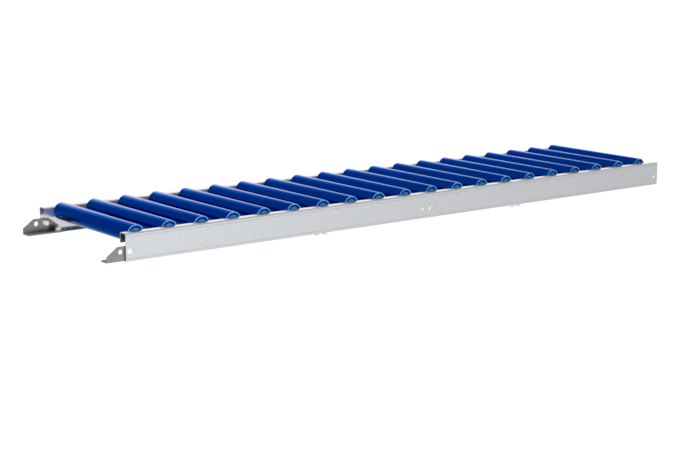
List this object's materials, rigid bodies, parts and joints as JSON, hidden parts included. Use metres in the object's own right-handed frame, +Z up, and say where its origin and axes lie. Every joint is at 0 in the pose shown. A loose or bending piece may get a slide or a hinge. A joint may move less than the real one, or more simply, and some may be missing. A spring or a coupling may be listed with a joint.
{
  "type": "gravity roller conveyor",
  "caption": "Straight gravity roller conveyor section: free-turning blue rollers between two galvanised hooked C rails, with cross ties underneath and joining brackets at one end.",
  "frame": {"origin": "on the plane the section stands on, under the middle of its length and width", "axes": "+X along the conveyor, away from the joining brackets; +Y across it; +Z up"},
  "size_m": [2.0534, 0.4788, 0.0955],
  "materials": {
    "galvanised_sheet": "galvanised",
    "bracket_steel": "bare, dull",
    "roller_blue": "gloss",
    "cap_blue": "gloss",
    "bright_bar": "drawn",
    "zinc_plate": "zinc plated",
    "bearing_steel": "ground"
  },
  "bodies": {
    "frame": {"side_rail_front": "galvanised_sheet", "side_rail_back": "galvanised_sheet", "joining_bracket_front": "bracket_steel", "joining_bracket_back": "bracket_steel", "cross_tie_left": "galvanised_sheet", "cross_tie_right": "galvanised_sheet", "roller_axles": "bright_bar", "axle_split_pins": "zinc_plate", "bearing_inner_races": "bearing_steel", "bearing_balls": "bearing_steel", "tie_bolts": "zinc_plate", "tie_bolt_washers": "zinc_plate", "tie_nuts": "zinc_plate", "bracket_web_bolts": "zinc_plate", "bracket_web_nuts": "zinc_plate", "bracket_foot_bolts": "zinc_plate", "bracket_foot_nuts": "zinc_plate"},
    "roller_01": {"roller_01_tube": "roller_blue", "roller_01_end_caps": "cap_blue"},
    "roller_02": {"roller_02_tube": "roller_blue", "roller_02_end_caps": "cap_blue"},
    "roller_03": {"roller_03_tube": "roller_blue", "roller_03_end_caps": "cap_blue"},
    "roller_04": {"roller_04_tube": "roller_blue", "roller_04_end_caps": "cap_blue"},
    "roller_05": {"roller_05_tube": "roller_blue", "roller_05_end_caps": "cap_blue"},
    "roller_06": {"roller_06_tube": "roller_blue", "roller_06_end_caps": "cap_blue"},
    "roller_07": {"roller_07_tube": "roller_blue", "roller_07_end_caps": "cap_blue"},
    "roller_08": {"roller_08_tube": "roller_blue", "roller_08_end_caps": "cap_blue"},
    "roller_09": {"roller_09_tube": "roller_blue", "roller_09_end_caps": "cap_blue"},
    "roller_10": {"roller_10_tube": "roller_blue", "roller_10_end_caps": "cap_blue"},
    "roller_11": {"roller_11_tube": "roller_blue", "roller_11_end_caps": "cap_blue"},
    "roller_12": {"roller_12_tube": "roller_blue", "roller_12_end_caps": "cap_blue"},
    "roller_13": {"roller_13_tube": "roller_blue", "roller_13_end_caps": "cap_blue"},
    "roller_14": {"roller_14_tube": "roller_blue", "roller_14_end_caps": "cap_blue"},
    "roller_15": {"roller_15_tube": "roller_blue", "roller_15_end_caps": "cap_blue"},
    "roller_16": {"roller_16_tube": "roller_blue", "roller_16_end_caps": "cap_blue"},
    "roller_17": {"roller_17_tube": "roller_blue", "roller_17_end_caps": "cap_blue"},
    "roller_18": {"roller_18_tube": "roller_blue", "roller_18_end_caps": "cap_blue"},
    "roller_19": {"roller_19_tube": "roller_blue", "roller_19_end_caps": "cap_blue"},
    "roller_20": {"roller_20_tube": "roller_blue", "roller_20_end_caps": "cap_blue"}
  },
  "joints": [
    {"name": "roller_01_spin", "type": "hinge", "parent": "frame", "child": "roller_01", "pos_m": [-0.92325, 0, 0.0705], "axis": [0, 1, 0], "continuous": true},
    {"name": "roller_02_spin", "type": "hinge", "parent": "frame", "child": "roller_02", "pos_m": [-0.82325, 0, 0.0705], "axis": [0, 1, 0], "continuous": true},
    {"name": "roller_03_spin", "type": "hinge", "parent": "frame", "child": "roller_03", "pos_m": [-0.72325, 0, 0.0705], "axis": [0, 1, 0], "continuous": true},
    {"name": "roller_04_spin", "type": "hinge", "parent": "frame", "child": "roller_04", "pos_m": [-0.62325, 0, 0.0705], "axis": [0, 1, 0], "continuous": true},
    {"name": "roller_05_spin", "type": "hinge", "parent": "frame", "child": "roller_05", "pos_m": [-0.52325, 0, 0.0705], "axis": [0, 1, 0], "continuous": true},
    {"name": "roller_06_spin", "type": "hinge", "parent": "frame", "child": "roller_06", "pos_m": [-0.42325, 0, 0.0705], "axis": [0, 1, 0], "continuous": true},
    {"name": "roller_07_spin", "type": "hinge", "parent": "frame", "child": "roller_07", "pos_m": [-0.32325, 0, 0.0705], "axis": [0, 1, 0], "continuous": true},
    {"name": "roller_08_spin", "type": "hinge", "parent": "frame", "child": "roller_08", "pos_m": [-0.22325, 0, 0.0705], "axis": [0, 1, 0], "continuous": true},
    {"name": "roller_09_spin", "type": "hinge", "parent": "frame", "child": "roller_09", "pos_m": [-0.12325, 0, 0.0705], "axis": [0, 1, 0], "continuous": true},
    {"name": "roller_10_spin", "type": "hinge", "parent": "frame", "child": "roller_10", "pos_m": [-0.02325, 0, 0.0705], "axis": [0, 1, 0], "continuous": true},
    {"name": "roller_11_spin", "type": "hinge", "parent": "frame", "child": "roller_11", "pos_m": [0.07675, 0, 0.0705], "axis": [0, 1, 0], "continuous": true},
    {"name": "roller_12_spin", "type": "hinge", "parent": "frame", "child": "roller_12", "pos_m": [0.17675, 0, 0.0705], "axis": [0, 1, 0], "continuous": true},
    {"name": "roller_13_spin", "type": "hinge", "parent": "frame", "child": "roller_13", "pos_m": [0.27675, 0, 0.0705], "axis": [0, 1, 0], "continuous": true},
    {"name": "roller_14_spin", "type": "hinge", "parent": "frame", "child": "roller_14", "pos_m": [0.37675, 0, 0.0705], "axis": [0, 1, 0], "continuous": true},
    {"name": "roller_15_spin", "type": "hinge", "parent": "frame", "child": "roller_15", "pos_m": [0.47675, 0, 0.0705], "axis": [0, 1, 0], "continuous": true},
    {"name": "roller_16_spin", "type": "hinge", "parent": "frame", "child": "roller_16", "pos_m": [0.57675, 0, 0.0705], "axis": [0, 1, 0], "continuous": true},
    {"name": "roller_17_spin", "type": "hinge", "parent": "frame", "child": "roller_17", "pos_m": [0.67675, 0, 0.0705], "axis": [0, 1, 0], "continuous": true},
    {"name": "roller_18_spin", "type": "hinge", "parent": "frame", "child": "roller_18", "pos_m": [0.77675, 0, 0.0705], "axis": [0, 1, 0], "continuous": true},
    {"name": "roller_19_spin", "type": "hinge", "parent": "frame", "child": "roller_19", "pos_m": [0.87675, 0, 0.0705], "axis": [0, 1, 0], "continuous": true},
    {"name": "roller_20_spin", "type": "hinge", "parent": "frame", "child": "roller_20", "pos_m": [0.97675, 0, 0.0705], "axis": [0, 1, 0], "continuous": true}
  ]
}
